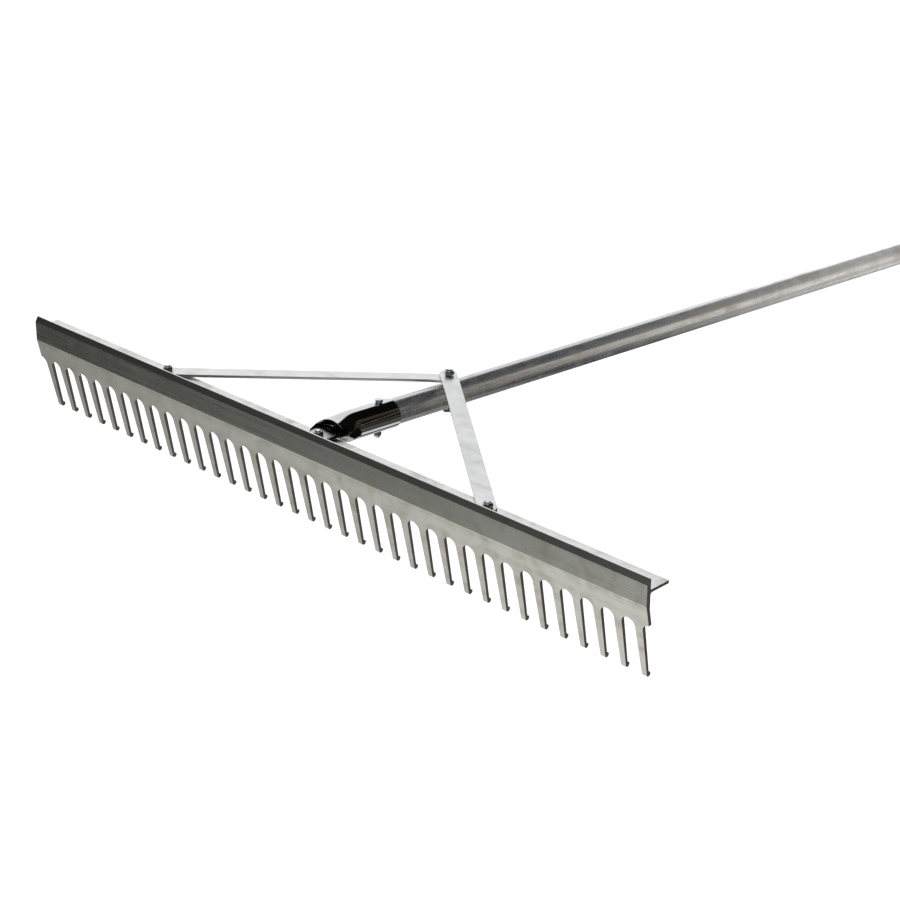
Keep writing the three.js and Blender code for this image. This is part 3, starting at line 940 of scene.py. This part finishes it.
place = HANDLE @ Matrix.Translation((0, HANDLE_BOLT, -TUBE_RADIUS - GAP))
fastening("strap_handle", SIX, 2 * TUBE_RADIUS + seat + 2 * step, place, lock_nut)
place = HANDLE @ Matrix.Translation((0, SOCKET_BOLT, SOCKET_RADIUS + GAP)) @ Matrix.Rotation(math.pi, 4, "Y")
fastening("ferrule_cross", FIVE, 2 * SOCKET_RADIUS, place, cap_nut)
place = HANDLE @ Matrix.Translation((0, HANDLE_BOLT, TUBE_RADIUS + GAP))
build("strap_plain_washer", washer(), place, ["strap_washer"], zinc, sharp=28)


# ---- stage, light and camera ----

scene = bpy.context.scene
scene.view_settings.view_transform = "Standard"


def floor():
    """A plain white ground, lit from within so that it stays as even as the photo's."""
    mesh = bpy.data.meshes.new("floor")
    half = 30.0
    mesh.from_pydata([(-half, -half, 0), (half, -half, 0), (half, half, 0), (-half, half, 0)], [], [(0, 1, 2, 3)])
    n = Nodes("floor")
    n.finish((0.30, 0.30, 0.30, 1), 0.9, metallic=0.0)
    n.shader.inputs["Specular IOR Level"].default_value = 0.0
    n.shader.inputs["Emission Color"].default_value = (1, 1, 1, 1)
    n.shader.inputs["Emission Strength"].default_value = 1.0
    mesh.materials.append(n.material)
    made = bpy.data.objects.new("floor", mesh)
    scene.collection.objects.link(made)
    made.visible_glossy = False
    made.visible_shadow = False


floor()


def world():
    """A soft studio round the rake: pale where the camera looks, and broad light and dark panels."""
    made = bpy.data.worlds.new("studio")
    made.use_nodes = True
    scene.world = made
    tree = made.node_tree
    background = tree.nodes["Background"]
    direction = tree.nodes.new("ShaderNodeTexCoord").outputs["Generated"]
    split = tree.nodes.new("ShaderNodeSeparateXYZ")
    tree.links.new(direction, split.inputs[0])

    def ramp(axis, low, high):
        node = tree.nodes.new("ShaderNodeMapRange")
        node.interpolation_type = "SMOOTHSTEP"
        node.inputs["From Min"].default_value = min(low, high)
        node.inputs["From Max"].default_value = max(low, high)
        node.inputs["To Min"].default_value = 0.0 if low < high else 1.0
        node.inputs["To Max"].default_value = 1.0 if low < high else 0.0
        tree.links.new(split.outputs[axis], node.inputs["Value"])
        return node.outputs["Result"]

    def times(a, b):
        node = tree.nodes.new("ShaderNodeMath")
        node.operation = "MULTIPLY"
        for value, socket in ((a, node.inputs[0]), (b, node.inputs[1])):
            if isinstance(value, float):
                socket.default_value = value
            else:
                tree.links.new(value, socket)
        return node.outputs[0]

    def panel(total, color, *ramps):
        """Adds a soft panel: a colour where every ramp is 1."""
        share = ramps[0]
        for other in ramps[1:]:
            share = times(share, other)
        scaled = tree.nodes.new("ShaderNodeMix")
        scaled.data_type = "RGBA"
        tree.links.new(share, scaled.inputs["Factor"])
        scaled.inputs[6].default_value = (0, 0, 0, 1)
        scaled.inputs[7].default_value = (*color, 1)
        add = tree.nodes.new("ShaderNodeMix")
        add.data_type = "RGBA"
        add.blend_type = "ADD"
        add.inputs["Factor"].default_value = 1.0
        if total is None:
            add.inputs[6].default_value = background_tone
        else:
            tree.links.new(total, add.inputs[6])
        tree.links.new(scaled.outputs[2], add.inputs[7])
        return add.outputs[2]

    background_tone = (0.004, 0.004, 0.004, 1)
    total = None
    streaks = tree.nodes.new("ShaderNodeTexNoise")
    streaks.inputs["Scale"].default_value = 1.0
    streaks.inputs["Detail"].default_value = 2.0
    stretch = tree.nodes.new("ShaderNodeMapping")
    stretch.inputs["Scale"].default_value = (2.0, 2.0, 16.0)
    tree.links.new(direction, stretch.inputs["Vector"])
    tree.links.new(stretch.outputs["Vector"], streaks.inputs["Vector"])
    shelf = tree.nodes.new("ShaderNodeMapRange")
    shelf.inputs["From Min"].default_value = 0.42
    shelf.inputs["From Max"].default_value = 0.62
    tree.links.new(streaks.outputs["Fac"], shelf.inputs["Value"])
    low_front = (ramp("Z", -0.40, -0.555), ramp("Y", 0.30, 0.10), ramp("X", 0.50, 0.20))
    panels = (
        # a big soft box up behind the left
        ((0.96, 0.96, 1.00), ramp("X", -0.36, -0.44), ramp("Y", -0.10, 0.20), ramp("Z", -0.55, -0.40)),
        # the pale ground in front, dimmer towards the left
        ((0.225, 0.225, 0.21), *low_front),
        ((0.475, 0.475, 0.455), ramp("X", -0.80, -0.52), *low_front),
        # a bright strip low behind, and a dimmer one beside it
        ((0.75, 0.75, 0.76), ramp("X", 0.40, 0.33), ramp("X", 0.03, 0.10), ramp("Z", -0.50, -0.62),
         ramp("Y", 0.20, 0.35), ramp("Y", 0.66, 0.63)),
        ((0.50, 0.50, 0.50), ramp("X", -0.08, -0.18), ramp("Z", -0.40, -0.52), ramp("Y", 0.20, 0.40),
         ramp("Y", 0.70, 0.66)),
        # dark ground off to the right
        ((0.085, 0.080, 0.074), ramp("X", 0.40, 0.50), ramp("Z", -0.30, -0.40)),
        # a dim warm room on the right
        ((0.085, 0.066, 0.042), shelf.outputs["Result"], ramp("X", 0.30, 0.45), ramp("Z", -0.36, -0.28),
         ramp("Z", 0.56, 0.40)),
        # a big soft box in front on the right, which the photo's side never reflects
        ((0.60, 0.60, 0.61), ramp("X", 0.35, 0.55), ramp("Y", -0.15, -0.40)),
        # a faint glow in front, stronger on the right
        ((0.020, 0.020, 0.020), ramp("Y", 0.10, -0.20)),
        ((0.070, 0.070, 0.072), ramp("X", -0.70, -0.52), ramp("Z", 0.0, 0.20), ramp("Y", -0.20, -0.50)),
    )
    for color, *ramps in panels:
        total = panel(total, color, *ramps)

    camera_ray = tree.nodes.new("ShaderNodeLightPath").outputs["Is Camera Ray"]
    seen = tree.nodes.new("ShaderNodeMix")
    seen.data_type = "RGBA"
    tree.links.new(camera_ray, seen.inputs["Factor"])
    tree.links.new(total, seen.inputs[6])
    seen.inputs[7].default_value = (1, 1, 1, 1)
    tree.links.new(seen.outputs[2], background.inputs["Color"])


world()


def soft_light(name, place, size, power, target, shape="ELLIPSE"):
    """An area light that faces a target."""
    data = bpy.data.lights.new(name, "AREA")
    data.shape = shape
    data.size, data.size_y = size
    data.energy = power
    light = bpy.data.objects.new(name, data)
    scene.collection.objects.link(light)
    light.location = place
    light.rotation_euler = (Vector(target) - Vector(place)).to_track_quat("-Z", "Y").to_euler()
    return light


overhead = soft_light("overhead", (-0.4, -0.6, 3.2), (4.5, 4.5), 70, (0, -0.6, 0), "RECTANGLE")
overhead.visible_glossy = False


def reflected_by(name, *pieces):
    """A collection of pieces, for a light to be linked to."""
    made = bpy.data.collections.new(name)
    for piece in pieces:
        made.objects.link(bpy.data.objects[piece])
    return made


def far_wall(name, centre, width, height, radiance, receiver, color=(1, 1, 1)):
    """A pale oval wall a long way behind, that only the receiver's pieces reflect. radiance is what they see."""
    area = math.pi * width * height / 4
    wall = soft_light(name, centre, (width, height), radiance * area * math.pi, (0, 0, 0.05))
    wall.data.color = color
    wall.light_linking.receiver_collection = receiver


handle_only = reflected_by("handle_only", "handle_tube_drawn")
far_wall("right_wall", (6.6, 7.9, 0.5), 1.7, 8.5, 0.74, handle_only, (1.0, 0.92, 0.82))
far_wall("back_wall", (0.0, 11.0, -0.6), 18.5, 18.5, 0.64, handle_only, (1.0, 0.97, 0.92))
far_wall("low_wall", (1.5, 10.2, -4.5), 6.6, 6.0, 0.56, handle_only)
far_wall("dim_wall", (4.0, 7.5, 4.0), 24.0, 20.0, 0.065, handle_only, (0.80, 0.91, 1.0))


rear_faces = reflected_by("rear_faces", "rake_head_extrusion", "left_strap_bar", "right_strap_bar")
far_wall("rear_wall", (7.3, 7.5, 0.8), 10.0, 4.0, 0.50, rear_faces)


def camera():
    """The photo's camera, turned and moved with the head into the row's frame."""
    level = Vector((-math.sin(CAMERA_AZIMUTH), math.cos(CAMERA_AZIMUTH), 0))
    forward = level * math.cos(CAMERA_ELEVATION) - Vector((0, 0, math.sin(CAMERA_ELEVATION)))
    right = Vector((math.cos(CAMERA_AZIMUTH), math.sin(CAMERA_AZIMUTH), 0))
    right = Matrix.Rotation(-CAMERA_ROLL, 3, forward) @ right
    up = right.cross(forward)
    turn = Matrix.Rotation(TILT, 3, "X")
    axes = [turn @ v for v in (right, up, -forward)]
    data = bpy.data.cameras.new("camera")
    data.lens = CAMERA_LENS
    data.sensor_width = CAMERA_SENSOR
    data.shift_y = CAMERA_SHIFT
    made = bpy.data.objects.new("camera", data)
    scene.collection.objects.link(made)
    made.matrix_world = Matrix.Translation(ROW @ Vector(CAMERA_PLACE)) @ Matrix(axes).transposed().to_4x4()
    scene.camera = made


camera()
